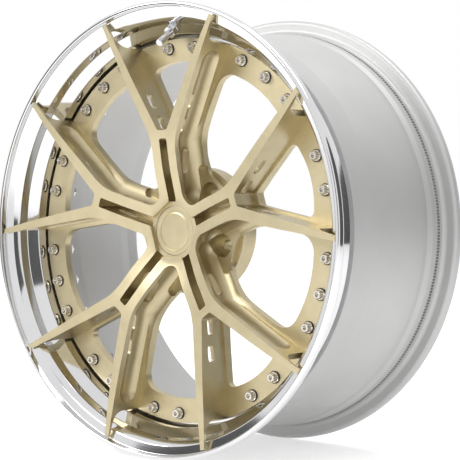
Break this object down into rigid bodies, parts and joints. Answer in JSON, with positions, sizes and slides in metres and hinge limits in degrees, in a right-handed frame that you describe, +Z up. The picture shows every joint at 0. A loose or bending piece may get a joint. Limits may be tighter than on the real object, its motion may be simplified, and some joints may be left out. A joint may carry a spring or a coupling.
{
  "type": "forged wheel",
  "caption": "Multi-piece forged car wheel with forked gold spokes, a polished stepped lip, a deep barrel and a ring of assembly bolts.",
  "frame": {"origin": "on the wheel's axis at the middle of the rim's overall width", "axes": "+Y along the wheel's axis towards the car, the styled face looking along -Y; +Z up through a forked spoke"},
  "size_m": [0.5474, 0.254, 0.5474],
  "materials": {
    "gold_anodised": "satin anodised champagne gold",
    "polished": "mirror polished",
    "satin_barrel": "spun and brushed satin",
    "sealant": "cured silicone",
    "bolt_steel": "polished",
    "dark_steel": "dark oxide",
    "chrome": "bright",
    "black_rubber": "matt",
    "brass": "machined"
  },
  "bodies": {
    "root": {"centre_disc": "gold_anodised", "outer_lip": "polished", "inner_barrel": "satin_barrel", "rim_seal": "sealant", "assembly_bolts": "bolt_steel", "assembly_washers": "dark_steel", "assembly_nuts": "bolt_steel", "centre_cap": "gold_anodised", "cap_retaining_ring": "bolt_steel", "valve_stem": "chrome", "valve_nut": "chrome", "valve_washer": "chrome", "valve_grommet": "black_rubber", "valve_core": "brass", "valve_cap": "chrome"}
  },
  "joints": []
}
